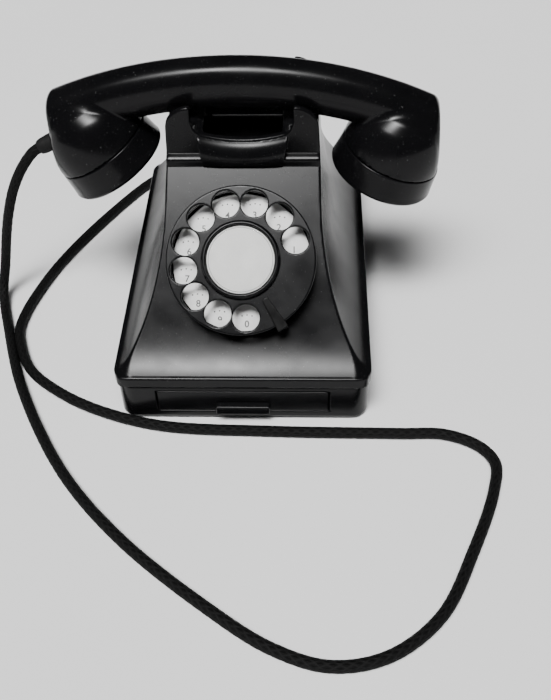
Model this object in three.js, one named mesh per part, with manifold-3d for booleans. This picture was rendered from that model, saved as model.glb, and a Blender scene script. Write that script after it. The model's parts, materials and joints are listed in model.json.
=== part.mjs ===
// Rotary-dial desk telephone with a cradle on a pyramid-shaped housing, built as separate pieces.
// Millimetres, +Z up, front of the telephone faces -Y, handset lies along X.
// The origin is at the middle of the telephone's footprint, on the table.

import * as THREE from 'three';
import { mergeVertices } from 'three/addons/utils/BufferGeometryUtils.js';
import Module from 'manifold-3d';

const wasm = await Module();
wasm.setup();

// ---------------------------------------------------------------- driving dimensions

const GAP = 0.3;                      // clearance between pieces that touch
const PLINTH_HALF_WIDTH = 68.5;
const PLINTH_DEPTH = 200;
const PULL_PROUD = 3;                 // the drawer pull stands this far in front of the plinth
const FRONT = -(PLINTH_DEPTH - PULL_PROUD) / 2;   // Y of the plinth's front edge
const BACK = FRONT + PLINTH_DEPTH;
const PLINTH_BOTTOM = 25.5;
const PLINTH_TOP = 32.5;
const PLINTH_CORNER = 9;

const FACE_HALF_WIDTH = 42.3;         // half-width of the tower and of the top of the dial face
const FACE_TOP = { y: FRONT + 85, z: 107 };
const SHOULDER_STEP = 3.5;            // height of the step between the dial face and the narrow shoulder
const FACE_SLOPE = THREE.MathUtils.degToRad(43);
const FLARE_TOP = 97;                 // height where the flanks start to sweep outwards
const TOWER_FRONT = FRONT + 89;
const TOWER_BACK = FRONT + 137;
const FRONT_EAR = 140;                // heights of the front and rear ear tips
const EAR_TIP = 143.5;
const WALL = 3;
const EAR_THICKNESS = 3.6;

const HANDSET_Y = FRONT + 110;        // middle of the cradle and of the handset
const HANDSET_HALF_LENGTH = 106;
const LIP_Z = 121;                    // lowest point of the edge between two ears
const SADDLE_Z = 126;                 // the handle rests here between the ears

const WHEEL_RADIUS = 39;
const DIAL_PROUD = 15;                // front of the finger wheel above the face
const DIAL_ALONG_FACE = 51.5;         // from the top edge of the face down to the dial's centre
const NUMBERS_PROUD = 5.3;            // face of the number ring above the dial face, down in its case
const HOLE_CIRCLE = 30;
const HOLE_RADIUS = 7;
const FIRST_HOLE_ANGLE = THREE.MathUtils.degToRad(20);
const HOLE_STEP = THREE.MathUtils.degToRad(28.4);
const STOP_ANGLE = THREE.MathUtils.degToRad(-58);

const CORD_RADIUS = 2.9;

// ---------------------------------------------------------------- materials

function material(color, roughness, metalness = 0) {
  return new THREE.MeshStandardMaterial({ color, roughness, metalness });
}

const phenolic = material(0x0b0b0c, 0.18);
const rubber = material(0x151515, 0.85);
const steel = material(0x9a9c9e, 0.35, 1);
const brass = material(0xb08d4a, 0.3, 1);
const chrome = material(0xd8d8d8, 0.12, 1);
const enamel = material(0xefefec, 0.3);
const card = material(0xe4e3de, 0.6);
const fibre = material(0x6b4a2c, 0.6);
const winding = material(0x2f3b2a, 0.5);
const glass = material(0xffffff, 0.05);
const braid = material(0x121212, 0.8);

// ---------------------------------------------------------------- solids

// A closed geometry as a manifold-3d solid.
function toSolid(geometry) {
  const bare = geometry.clone();
  bare.deleteAttribute('normal');
  bare.deleteAttribute('uv');
  const merged = mergeVertices(bare, 1e-4);
  return new wasm.Manifold(new wasm.Mesh({
    numProp: 3,
    vertProperties: Float32Array.from(merged.attributes.position.array),
    triVerts: Uint32Array.from(merged.index.array),
  }));
}

// A manifold-3d solid as a geometry.
function toGeometry(solid) {
  const mesh = solid.getMesh();
  const geometry = new THREE.BufferGeometry();
  geometry.setAttribute('position', new THREE.BufferAttribute(mesh.vertProperties, 3));
  geometry.setIndex(new THREE.BufferAttribute(mesh.triVerts, 1));
  geometry.computeVertexNormals();
  return geometry;
}

function join(...geometries) {
  return toGeometry(geometries.map(toSolid).reduce((sum, next) => sum.add(next)));
}

function cut(geometry, ...tools) {
  return toGeometry(tools.map(toSolid).reduce((rest, tool) => rest.subtract(tool), toSolid(geometry)));
}

function common(a, b) {
  return toGeometry(toSolid(a).intersect(toSolid(b)));
}

function polygon(points) {
  return new THREE.Shape(points.map(([x, y]) => new THREE.Vector2(x, y)));
}

function disc(x, y, radius, sides) {
  const points = [];
  for (let i = 0; i < sides; i += 1) {
    const angle = i * 2 * Math.PI / sides;
    points.push([x + radius * Math.cos(angle), y + radius * Math.sin(angle)]);
  }
  return polygon(points);
}

function roundedRectangle(halfWidth, low, high, radius) {
  const shape = new THREE.Shape();
  shape.absarc(halfWidth - radius, low + radius, radius, -Math.PI / 2, 0);
  shape.absarc(halfWidth - radius, high - radius, radius, 0, Math.PI / 2);
  shape.absarc(radius - halfWidth, high - radius, radius, Math.PI / 2, Math.PI);
  shape.absarc(radius - halfWidth, low + radius, radius, Math.PI, 1.5 * Math.PI);
  return shape;
}

// An outline in X and Y, from z = bottom to z = top.
function upright(shape, bottom, top, curveSegments = 6) {
  const depth = top - bottom;
  const geometry = new THREE.ExtrudeGeometry(shape, { depth, bevelEnabled: false, curveSegments });
  return geometry.translate(0, 0, bottom);
}

// An outline in X and Z, from y = front to y = back.
function alongY(shape, front, back, curveSegments = 6) {
  const depth = back - front;
  const geometry = new THREE.ExtrudeGeometry(shape, { depth, bevelEnabled: false, curveSegments });
  return geometry.rotateX(Math.PI / 2).translate(0, back, 0);
}

// An outline in Y and Z, from x = left to x = right.
function alongX(shape, left, right, curveSegments = 6) {
  const depth = right - left;
  const geometry = new THREE.ExtrudeGeometry(shape, { depth, bevelEnabled: false, curveSegments });
  return geometry.applyMatrix4(new THREE.Matrix4().set(0, 0, 1, left, 1, 0, 0, 0, 0, 1, 0, 0, 0, 0, 0, 1));
}

function box(x0, x1, y0, y1, z0, z1) {
  return new THREE.BoxGeometry(x1 - x0, y1 - y0, z1 - z0)
    .translate((x0 + x1) / 2, (y0 + y1) / 2, (z0 + z1) / 2);
}

// A solid turned about the Z axis from [radius, z] points, closed on the axis or on itself.
function turned(profile, segments = 24) {
  const geometry = new THREE.LatheGeometry(profile.map(([r, z]) => new THREE.Vector2(r, z)), segments);
  return geometry.rotateX(Math.PI / 2);
}

function rod(radius, bottom, top, segments = 16) {
  return turned([[0, bottom], [radius, bottom], [radius, top], [0, top]], segments);
}

// A washer shape: [inner radius, outer radius], bottom to top.
function collar(inner, outer, bottom, top, segments = 32) {
  const profile = [[inner, bottom], [outer, bottom], [outer, top], [inner, top], [inner, bottom]];
  return turned(profile, segments);
}

// A closed skin through rings of points; every ring has the same count and runs the same way round.
function loft(rings) {
  const count = rings[0].length;
  const positions = rings.flat().flatMap((point) => [point.x, point.y, point.z]);
  const index = [];
  for (let ring = 0; ring < rings.length - 1; ring += 1) {
    for (let i = 0; i < count; i += 1) {
      const a = ring * count + i;
      const b = ring * count + ((i + 1) % count);
      index.push(a, b, a + count, b, b + count, a + count);
    }
  }
  const last = (rings.length - 1) * count;
  for (let i = 1; i < count - 1; i += 1) {
    index.push(0, i + 1, i);
    index.push(last, last + i, last + i + 1);
  }
  const geometry = new THREE.BufferGeometry();
  geometry.setAttribute('position', new THREE.Float32BufferAttribute(positions, 3));
  geometry.setIndex(index);
  return geometry;
}

// ---------------------------------------------------------------- the group

const phone = new THREE.Group();

function add(parent, name, geometry, finish) {
  const mesh = new THREE.Mesh(geometry, finish);
  mesh.name = name;
  parent.add(mesh);
  return mesh;
}

// ---------------------------------------------------------------- housing

// Half-width of the housing at a height: a straight tower on flanks that sweep out to the plinth.
function halfWidthAt(z, inset) {
  const foot = PLINTH_HALF_WIDTH - 1.5;
  const t = THREE.MathUtils.clamp((FLARE_TOP - z) / (FLARE_TOP - PLINTH_TOP), 0, 1);
  const draft = 0.05 * Math.max(0, z - FLARE_TOP);
  return foot - (foot - FACE_HALF_WIDTH) * (1 - t * t) ** 0.75 - draft - inset;
}

// The housing seen from the front, up to a flat top.
function frontOutline(inset, bottom, top) {
  const heights = [bottom, PLINTH_TOP + 0.1, 34, 38, 44, 52, 62, 74, 86, FLARE_TOP, top];
  const right = heights.map((z) => [halfWidthAt(z, inset), z]);
  const left = right.map(([x, z]) => [-x, z]).reverse();
  return polygon([...right, ...left]);
}

// The housing seen from the side: skirt, dial face, narrow shoulder, tower and the long curved back.
function sideOutline(inset, bottom, top) {
  const slope = [Math.cos(FACE_SLOPE), Math.sin(FACE_SLOPE)];
  const inward = [slope[1] * inset, -slope[0] * inset];
  const faceFoot = [FACE_TOP.y - 73 * slope[0] / slope[1] + inward[0], FACE_TOP.z - 73 + inward[1]];
  const shape = new THREE.Shape();
  shape.moveTo(FRONT + 3 + inset, bottom);
  shape.lineTo(FRONT + 3 + inset, PLINTH_TOP + 0.4 - inset * 0.4);
  shape.quadraticCurveTo(FRONT + 7 + inset, PLINTH_TOP + 1.4 - inset, faceFoot[0] + 6.5, faceFoot[1] + 6);
  shape.lineTo(FACE_TOP.y + inward[0], FACE_TOP.z + inward[1]);
  shape.lineTo(FACE_TOP.y + 0.4 + inward[0], FACE_TOP.z + SHOULDER_STEP + inward[1]);
  shape.lineTo(TOWER_FRONT + inset, FACE_TOP.z + SHOULDER_STEP + 2);
  shape.lineTo(TOWER_FRONT + inset, top);
  shape.lineTo(TOWER_BACK - inset, top);
  shape.lineTo(TOWER_BACK - inset, FACE_TOP.z + 5);
  shape.bezierCurveTo(
    TOWER_BACK + 18 - inset, 83, TOWER_BACK + 49 - inset, 62 - inset, BACK - 2 - inset, PLINTH_TOP + 0.4);
  shape.lineTo(BACK - 2 - inset, bottom);
  return shape;
}

function housingBlank(inset, bottom, top) {
  return common(
    alongY(frontOutline(inset, bottom, top), FRONT, BACK),
    alongX(sideOutline(inset, bottom, top), -PLINTH_HALF_WIDTH, PLINTH_HALF_WIDTH, 7),
  );
}

// The ears seen from the front: highest on the inside, rounded off towards the sides of the tower.
function earOutline(tip) {
  const shape = new THREE.Shape();
  shape.moveTo(-60, PLINTH_BOTTOM);
  shape.lineTo(-60, tip - 16);
  shape.lineTo(-41, tip - 16);
  shape.bezierCurveTo(-40.5, tip - 6, -37, tip, -29.5, tip);
  shape.lineTo(29.5, tip);
  shape.bezierCurveTo(37, tip, 40.5, tip - 6, 41, tip - 16);
  shape.lineTo(60, tip - 16);
  shape.lineTo(60, PLINTH_BOTTOM);
  return shape;
}

// Shape of the space between the two ears of each pair, seen from the front.
function earGap() {
  const shape = new THREE.Shape();
  shape.moveTo(-28, EAR_TIP + 5);
  shape.lineTo(-26.7, LIP_Z + 9);
  shape.quadraticCurveTo(-26.3, LIP_Z + 4.2, -20.5, LIP_Z + 2.9);
  shape.quadraticCurveTo(-10, LIP_Z, 0, LIP_Z);
  shape.quadraticCurveTo(10, LIP_Z, 20.5, LIP_Z + 2.9);
  shape.quadraticCurveTo(26.3, LIP_Z + 4.2, 26.7, LIP_Z + 9);
  shape.lineTo(28, EAR_TIP + 5);
  return shape;
}

// Shape of the trough that the handle lies in, seen from the side.
function handleTrough() {
  const front = TOWER_FRONT + EAR_THICKNESS;
  const back = TOWER_BACK - EAR_THICKNESS;
  const shape = new THREE.Shape();
  shape.moveTo(front - 0.5, EAR_TIP + 5);
  shape.lineTo(front, SADDLE_Z + 5);
  shape.quadraticCurveTo(front, SADDLE_Z, front + 6, SADDLE_Z);
  shape.lineTo(back - 14, SADDLE_Z);
  shape.quadraticCurveTo(back - 4, SADDLE_Z, back - 3, SADDLE_Z + 8);
  shape.lineTo(back, EAR_TIP + 5);
  return shape;
}

// The bowed lip in front of the finger space, flush with the top of the dial face.
function fingerLip() {
  const shape = new THREE.Shape();
  shape.moveTo(-21.5, FACE_TOP.z + 2);
  shape.lineTo(21.5, FACE_TOP.z + 2);
  shape.lineTo(24.2, LIP_Z + 4);
  shape.quadraticCurveTo(12, LIP_Z, 0, LIP_Z);
  shape.quadraticCurveTo(-12, LIP_Z, -24.2, LIP_Z + 4);
  return alongY(shape, FACE_TOP.y + 1, TOWER_FRONT + 3);
}

const dialCentre = {
  y: FACE_TOP.y - DIAL_ALONG_FACE * Math.cos(FACE_SLOPE),
  z: FACE_TOP.z - DIAL_ALONG_FACE * Math.sin(FACE_SLOPE),
};

// Turns a geometry made around the Z axis so that it stands square on the dial face.
function ontoFace(geometry) {
  return geometry.rotateX(FACE_SLOPE).translate(0, dialCentre.y, dialCentre.z);
}

const SIDES = [-1, 1];
const HANDS = [[-1, 'left'], [1, 'right']];
const PLUNGER_X = 32;
const DIAL_OPENING = 33;              // radius of the hole in the dial face
const SCREW_BORE = 2.3;
const FINGER_SPACE = {
  x: 21,
  front: TOWER_FRONT + EAR_THICKNESS,
  back: TOWER_BACK - EAR_THICKNESS,
  floor: 109,
};
const SCREW_PLACES = SIDES.flatMap((side) => [FRONT + 8.5, BACK - 8.5].map((y) => [side * 60, y]));
const GLAND = { x: -36, z: 14 };      // bushes for the handset cord and the line cord, in the rear wall
const INLET = { x: 30, z: 14 };
const BUSH_NECK = 4;

// The hollow under one side of the cradle, where a plunger stands.
function plungerRoom(side) {
  const middle = side * 31.25;
  const halfWidth = 6.75;
  return box(middle - halfWidth, middle + halfWidth, FINGER_SPACE.front, FINGER_SPACE.back,
    FACE_TOP.z - 6, SADDLE_Z - 4);
}

// Copies of a geometry at a list of [x, y] places.
function atPlaces(places, make) {
  return places.map(([x, y]) => make().translate(x, y, 0));
}

function housing() {
  const plinth = upright(
    roundedRectangle(PLINTH_HALF_WIDTH, FRONT, BACK, PLINTH_CORNER), PLINTH_BOTTOM, PLINTH_TOP);
  const blank = housingBlank(0, PLINTH_BOTTOM + 1, EAR_TIP);
  const frontPart = common(blank, alongY(earOutline(FRONT_EAR), FRONT, HANDSET_Y));
  const backPart = common(blank, alongY(earOutline(EAR_TIP), HANDSET_Y, BACK));
  const outside = join(frontPart, backPart, plinth, fingerLip());
  const tools = [
    housingBlank(WALL, PLINTH_BOTTOM - 1, FACE_TOP.z - 1.5),
    ...SIDES.map(plungerRoom),
    alongY(earGap(), FRONT, BACK),
    alongX(handleTrough(), -PLINTH_HALF_WIDTH, PLINTH_HALF_WIDTH),
    box(-FINGER_SPACE.x, FINGER_SPACE.x, FINGER_SPACE.front, FINGER_SPACE.back, FINGER_SPACE.floor, EAR_TIP),
    ontoFace(rod(DIAL_OPENING, -20, 20, 32)),
    ...SIDES.map((side) => rod(2.9, SADDLE_Z - 8, EAR_TIP, 12).translate(side * PLUNGER_X, HANDSET_Y, 0)),
  ];
  const shell = cut(outside, ...tools);
  const bosses = atPlaces(SCREW_PLACES, () => rod(4.8, PLINTH_BOTTOM, PLINTH_TOP - 0.5, 12));
  const bores = atPlaces(SCREW_PLACES, () => rod(SCREW_BORE, 0, PLINTH_TOP - 2, 10));
  return cut(join(shell, ...bosses), ...bores);
}

add(phone, 'housing', housing(), phenolic);

// ---------------------------------------------------------------- base tray, feet and screws

const TRAY = { inset: 1.2, bottom: 1.5, floor: 5.5, top: PLINTH_BOTTOM - GAP, wall: 3 };
const DRAWER = { halfWidth: 46, bottom: 7, top: 21.5, depth: 118, wall: 1.8 };
const FOOT_PLACES = SIDES.flatMap((side) => [FRONT + 28, BACK - 28].map((y) => [side * 54, y]));
const CHASSIS_BOTTOM = 23;

function baseTray() {
  const halfWidth = PLINTH_HALF_WIDTH - TRAY.inset;
  const front = FRONT + TRAY.inset;
  const back = BACK - TRAY.inset;
  const outside = upright(roundedRectangle(halfWidth, front, back, PLINTH_CORNER), TRAY.bottom, TRAY.top);
  const inside = upright(
    roundedRectangle(halfWidth - TRAY.wall, front + TRAY.wall, back - TRAY.wall, PLINTH_CORNER - TRAY.wall),
    TRAY.floor, TRAY.top + 1);
  const rails = SIDES.map((side) => box(
    side * (DRAWER.halfWidth + 2) - 1.4, side * (DRAWER.halfWidth + 2) + 1.4,
    front + 1, back - 1, TRAY.floor - 1, CHASSIS_BOTTOM - GAP));
  const posts = atPlaces(SCREW_PLACES, () => rod(5.5, TRAY.floor - 1, TRAY.top, 12));
  const doorway = box(-DRAWER.halfWidth - GAP, DRAWER.halfWidth + GAP, FRONT, front + TRAY.wall + 1,
    DRAWER.bottom - GAP, DRAWER.top + GAP);
  const footPockets = atPlaces(FOOT_PLACES, () => rod(7.3, 0, 3.5, 20));
  const screwWays = atPlaces(SCREW_PLACES, () => rod(SCREW_BORE, 0, TRAY.top + 1, 10));
  const screwSinks = atPlaces(SCREW_PLACES, () => rod(4.6, 0, 4.4, 16));
  const cordWays = [GLAND, INLET].map((place) => rod(BUSH_NECK + GAP, -8, 8, 16)
    .rotateX(Math.PI / 2).translate(place.x, back, place.z));
  const whole = join(cut(outside, inside), ...rails, ...posts);
  return cut(whole, doorway, ...footPockets, ...screwWays, ...screwSinks, ...cordWays);
}

function baseScrew() {
  return turned([[0, 1.8], [4.2, 1.8], [4.2, 3.2], [2, 4.1], [2, PLINTH_TOP - 3], [0, PLINTH_TOP - 3]], 12);
}

add(phone, 'base_tray', baseTray(), phenolic);
FOOT_PLACES.forEach(([x, y], i) => {
  const foot = turned([[0, 0], [6, 0], [7, 0.8], [7, 3.2], [0, 3.2]], 20);
  add(phone, `foot_${i + 1}`, foot.translate(x, y, 0), rubber);
});
SCREW_PLACES.forEach(([x, y], i) => {
  add(phone, `base_screw_${i + 1}`, baseScrew().translate(x, y, 0), steel);
});

// ---------------------------------------------------------------- drawer

function drawer() {
  const { halfWidth, bottom, top, wall } = DRAWER;
  const front = FRONT + TRAY.inset;
  const back = front + DRAWER.depth;
  const block = box(-halfWidth, halfWidth, front, back, bottom, top);
  const room = box(wall - halfWidth, halfWidth - wall, front + 2.8, back - wall, bottom + wall, top + 1);
  return cut(block, room);
}

function drawerPull() {
  const face = FRONT + TRAY.inset - GAP;
  const tip = FRONT - PULL_PROUD;
  const section = polygon([[face, 8], [tip, 8], [tip, 13], [tip + 0.8, 13.8], [face, 13.8]]);
  return alongX(section, -14.5, 14.5);
}

add(phone, 'drawer', drawer(), phenolic);
add(phone, 'drawer_pull', drawerPull(), phenolic);

// ---------------------------------------------------------------- chassis and ringer

function chassisPlate() {
  const plate = upright(roundedRectangle(63.5, FRONT + 5, BACK - 5, 6), CHASSIS_BOTTOM, CHASSIS_BOTTOM + 1.5);
  const notches = SCREW_PLACES.map(([x, y]) => rod(6, 0, 40, 12).translate(x, y, 0));
  return cut(plate, ...notches);
}

const DECK = CHASSIS_BOTTOM + 1.5 + GAP;       // pieces stand on the chassis plate here
const GONG = { x: 29, y: BACK - 38, rim: 32, radius: 25 };
const COIL_Y = FRONT + 116;

function gong() {
  const outer = [[2.6, 15.5], [9, 15], [17, 12], [22.5, 6.5], [GONG.radius, 0]];
  const inner = outer.map(([r, z]) => [Math.max(2.6, r - 1.3), Math.max(0, z - 1.3)]);
  return turned([...inner, ...outer.reverse(), inner[0]], 20);
}

function gongPost() {
  const top = GONG.rim + 15.5;
  return turned([[0, DECK], [4, DECK], [4, top - 3], [2.2, top - 3], [2.2, top + 0.3], [4, top + 0.3],
    [4, top + 2.5], [0, top + 2.5]], 14);
}

function ringerYoke() {
  const foot = box(-22, 22, COIL_Y - 8, COIL_Y + 8, DECK, DECK + 2.5);
  const back = box(-22, 22, COIL_Y - 8, COIL_Y - 5.5, DECK, DECK + 20);
  return join(foot, back);
}

function ringerCoil(side) {
  const core = rod(2.5, 0, 26, 12);
  const bobbin = turned([[0, 1], [8, 1], [8, 2.5], [7, 2.5], [7, 22.5], [8, 22.5], [8, 24], [0, 24]], 20);
  return join(core, bobbin).rotateX(-Math.PI / 2).translate(side * 11, COIL_Y - 5.2, DECK + 12);
}

const CLAPPER_PIVOT = { y: COIL_Y + 24, z: DECK + 12 };
const CLAPPER_REACH = 22;

// An armature pad in front of the coils, with a stem to the ball between the gongs.
function clapper() {
  const pad = box(-13.5, 13.5, -1, 1, -5, 5);
  const stem = rod(0.9, 0, CLAPPER_REACH, 8).rotateX(-Math.PI / 2);
  const ball = new THREE.SphereGeometry(3.2, 12, 8).translate(0, CLAPPER_REACH, 0);
  return join(pad, stem, ball).translate(0, CLAPPER_PIVOT.y, CLAPPER_PIVOT.z);
}

function clapperBracket() {
  return box(-2.5, 2.5, CLAPPER_PIVOT.y - 3.5, CLAPPER_PIVOT.y + 3.5, DECK, CLAPPER_PIVOT.z - 5.4);
}

add(phone, 'chassis_plate', chassisPlate(), steel);
for (const [side, hand] of HANDS) {
  add(phone, `gong_${hand}`, gong().translate(side * GONG.x, GONG.y, GONG.rim), brass);
  add(phone, `gong_post_${hand}`, gongPost().translate(side * GONG.x, GONG.y, 0), steel);
  add(phone, `ringer_coil_${hand}`, ringerCoil(side), winding);
}
add(phone, 'ringer_yoke', ringerYoke(), steel);
add(phone, 'clapper_bracket', clapperBracket(), steel);
add(phone, 'clapper', clapper(), brass);

// ---------------------------------------------------------------- circuit parts on the chassis

function inductionCoil() {
  const profile = [[0, 0], [10, 0], [10, 2], [8.5, 2], [8.5, 30], [10, 30], [10, 32], [0, 32]];
  return turned(profile, 20).rotateY(Math.PI / 2).translate(18, FRONT + 86, DECK + 10.3);
}

function capacitorCan() {
  const shape = roundedRectangle(13, -8, 8, 3);
  return upright(shape, DECK, DECK + 24, 3).translate(-36, FRONT + 82, 0);
}

function terminalBlock() {
  const base = box(-6, 6, -22, 22, 0, 6);
  const studs = [-16, -8, 0, 8, 16].map((y) => rod(2, 5, 9, 8).translate(0, y, 0));
  return join(base, ...studs).translate(-51, FRONT + 112, DECK);
}

add(phone, 'induction_coil', inductionCoil(), winding);
add(phone, 'capacitor_can', capacitorCan(), steel);
add(phone, 'terminal_block', terminalBlock(), fibre);

// ---------------------------------------------------------------- cradle switch

const LEVER = { y: HANDSET_Y - 14, z: 97.5, pinHole: 1.3 };
const BAR_TOP = LEVER.z + 2;
const PLUNGER_TOP = SADDLE_Z + 1.4;   // the plungers are held down by the handle

function plunger() {
  const foot = BAR_TOP + GAP;
  const collarZ = SADDLE_Z - 10.8;
  return turned([[0, foot], [2.2, foot], [2.2, collarZ], [4.5, collarZ], [4.5, collarZ + 2],
    [2.5, collarZ + 2], [2.5, PLUNGER_TOP - 0.8], [1.5, PLUNGER_TOP], [0, PLUNGER_TOP]], 16);
}

// Lays a round piece made around the Z axis along the lever's pivot.
function atLeverPivot(geometry) {
  return geometry.rotateY(Math.PI / 2).translate(0, LEVER.y, LEVER.z);
}

// A bar across the housing that both plungers push down.
function switchLever() {
  const bar = box(-38, 38, HANDSET_Y - 2.5, HANDSET_Y + 2.5, BAR_TOP - 1.5, BAR_TOP);
  const arm = box(-6, 6, LEVER.y - 2, HANDSET_Y, BAR_TOP - 1.5, BAR_TOP);
  const knuckle = atLeverPivot(rod(2.4, -6, 6, 12));
  return cut(join(bar, arm, knuckle), atLeverPivot(rod(LEVER.pinHole, -8, 8, 10)));
}

function leverPin() {
  return atLeverPivot(rod(1, -9.5, 9.5, 10));
}

// A tall steel bracket from the chassis that carries the lever pin between two cheeks.
function switchBracket() {
  const foot = box(-10, 10, LEVER.y - 6, LEVER.y + 6, DECK, DECK + 2);
  const cheeks = SIDES.map((side) => box(
    side * 8 - 0.8, side * 8 + 0.8, LEVER.y - 4, LEVER.y + 4, DECK, LEVER.z + 4));
  return cut(join(foot, ...cheeks), atLeverPivot(rod(LEVER.pinHole, -20, 20, 10)));
}

const SHELF_TOP = 83.7;

function contactSprings() {
  const stack = box(-5, 5, -5, 5, 0, 10);
  const leaves = [2, 4.5, 7].map((z) => box(-3, 3, 4, 22, z, z + 0.6));
  return join(stack, ...leaves).translate(0, LEVER.y + 1, SHELF_TOP + GAP);
}

function springShelf() {
  return box(-6.9, 6.9, LEVER.y - 3.5, LEVER.y + 3.5, SHELF_TOP - 3.7, SHELF_TOP);
}

for (const [side, hand] of HANDS) {
  add(phone, `cradle_plunger_${hand}`, plunger().translate(side * PLUNGER_X, HANDSET_Y, 0), chrome);
}
add(phone, 'switch_lever', switchLever(), steel);
add(phone, 'lever_pin', leverPin(), steel);
add(phone, 'switch_bracket', switchBracket(), steel);
add(phone, 'spring_shelf', springShelf(), fibre);
add(phone, 'contact_springs', contactSprings(), brass);

// ---------------------------------------------------------------- dial

// Everything in this group is made around the dial's own axis, with z = 0 on the dial face.
const dial = new THREE.Group();
dial.position.set(0, dialCentre.y, dialCentre.z);
dial.rotation.x = FACE_SLOPE;
phone.add(dial);

function dialCase() {
  const floor = NUMBERS_PROUD - 1 - GAP;
  const profile = [[4, floor], [4, floor - 1.8], [29.5, floor - 1.8], [29.5, -21], [31, -21], [31, GAP],
    [37.8, GAP], [37.8, 7.6], [37.4, 8.2], [36.8, 8.2], [36.8, floor], [4, floor]];
  return turned(profile, 32);
}

function fingerWheel() {
  const plate = disc(0, 0, WHEEL_RADIUS, 48);
  for (let i = 0; i < 10; i += 1) {
    const angle = FIRST_HOLE_ANGLE + i * HOLE_STEP;
    plate.holes.push(disc(HOLE_CIRCLE * Math.cos(angle), HOLE_CIRCLE * Math.sin(angle), HOLE_RADIUS, 16));
  }
  plate.holes.push(disc(0, 0, 2.8, 12));
  return upright(plate, DIAL_PROUD - 2.2, DIAL_PROUD);
}

function fingerStop() {
  const reach = polygon([[23.5, -1.6], [WHEEL_RADIUS + 1, -3], [WHEEL_RADIUS + 3, -3], [WHEEL_RADIUS + 3, 3],
    [WHEEL_RADIUS + 1, 3], [23.5, 1.6]]);
  const finger = upright(reach, DIAL_PROUD + 0.6, DIAL_PROUD + 2);
  const riser = box(WHEEL_RADIUS + 1, WHEEL_RADIUS + 3, -3, 3, 2.2, DIAL_PROUD + 1.5);
  const tongue = box(38.2, WHEEL_RADIUS + 2, -3, 3, 2.2, 4);
  return join(finger, riser, tongue).rotateZ(STOP_ANGLE);
}

function gear(radius, teeth, bore, bottom, top) {
  const points = [];
  for (let i = 0; i < teeth * 2; i += 1) {
    const angle = (i + 0.5) * Math.PI / teeth;
    const r = i % 2 ? radius : radius - 1.4;
    points.push([r * Math.cos(angle), r * Math.sin(angle)]);
  }
  const shape = polygon(points);
  shape.holes.push(disc(0, 0, bore, 10));
  return upright(shape, bottom, top);
}

const GOVERNOR = { x: 20.3, z: -10.2, halfSpan: 16.2, bore: 1.3 };

// Lays a piece made around the Z axis along the governor's axis, across the dial.
function atGovernor(geometry) {
  return geometry.rotateX(Math.PI / 2).translate(GOVERNOR.x, 0, GOVERNOR.z);
}

// The governor shaft, driven through its worm by the main gear, with the brake drum at one end.
function governorShaft() {
  const shaft = rod(1, -16, 14, 8);
  const worm = rod(2.2, -6, 6, 10);
  const drum = rod(4, 8, 12, 12);
  return atGovernor(join(shaft, worm, drum));
}

function governorFrame() {
  const { x, halfSpan } = GOVERNOR;
  const bridge = box(x - 2.5, x + 2.5, -halfSpan - 1, halfSpan + 1, -19, -17);
  const legs = SIDES.map((side) => box(x - 2.5, x + 2.5, side * halfSpan - 1, side * halfSpan + 1, -19, -8));
  return cut(join(bridge, ...legs), atGovernor(rod(GOVERNOR.bore, -30, 30, 10)));
}

function pulseSprings() {
  const stack = box(-24, -16, -4, 4, -19, -12.2);
  const leaves = [-16, -13].map((z) => box(-17, -12.5, -2, 2, z, z + 0.6));
  return join(stack, ...leaves);
}

add(dial, 'dial_case', dialCase(), phenolic);
add(dial, 'number_ring', collar(19, 36.2, NUMBERS_PROUD - 1, NUMBERS_PROUD, 36), enamel);
add(dial, 'finger_wheel', fingerWheel(), phenolic);
add(dial, 'label_ring', collar(17.9, 20.6, DIAL_PROUD + GAP, DIAL_PROUD + 3.2, 32), phenolic);
add(dial, 'label_card', rod(17.5, DIAL_PROUD + GAP, DIAL_PROUD + 0.9, 24), card);
add(dial, 'label_window', rod(17.5, DIAL_PROUD + 1.3, DIAL_PROUD + 2.3, 24), glass);
add(dial, 'finger_stop', fingerStop(), steel);
add(dial, 'dial_shaft', rod(2.5, -18, DIAL_PROUD, 16), steel);
add(dial, 'main_gear', gear(17.2, 24, 2.8, -11.5, -9), brass);
add(dial, 'pulse_cam', gear(10, 5, 2.8, -16.5, -14), brass);
add(dial, 'governor_shaft', governorShaft(), steel);
add(dial, 'governor_frame', governorFrame(), brass);
add(dial, 'pulse_springs', pulseSprings(), brass);

// ---------------------------------------------------------------- handset

// The handset lies a little askew in the cradle. Its pieces are made around the middle of the cradle.
const handset = new THREE.Group();
handset.position.set(-0.7, HANDSET_Y - 1, 0);
handset.rotation.z = THREE.MathUtils.degToRad(-1.5);
phone.add(handset);

const CREST_Z = 157.3;
const END_DROP = { left: 20.5, right: 22.5 };  // how far the handle falls from its crest to its ends
const RIM_RADIUS = 29.5;
const SEAM = { radius: 28, height: 15.5 };     // where a cap meets its cup, above the cap's rim
const TRANSMITTER = { x: -70.8, z: 92, tilt: THREE.MathUtils.degToRad(31) };
const RECEIVER = { x: 75.3, z: 88.3, tilt: THREE.MathUtils.degToRad(-20) };

// One ring of the handle, an oval that is a little higher than it is wide.
function handleRing(x) {
  const run = Math.abs(x) / HANDSET_HALF_LENGTH;
  const drop = x < 0 ? END_DROP.left : END_DROP.right;
  const top = CREST_Z - drop * run ** 2 - 1.8 * run ** 4;
  const height = 27.4 + 4.4 * run ** 3 - 1.8 * run ** 4;
  const halfWidth = 11.5 + 1.5 * run ** 2;
  const points = [];
  for (let i = 0; i < 16; i += 1) {
    const angle = i * Math.PI / 8;
    const square = (value) => Math.sign(value) * Math.abs(value) ** 0.8;
    const y = halfWidth * square(Math.cos(angle));
    const z = top - height / 2 + height / 2 * square(Math.sin(angle));
    points.push(new THREE.Vector3(x, y, z));
  }
  return points;
}

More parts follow.
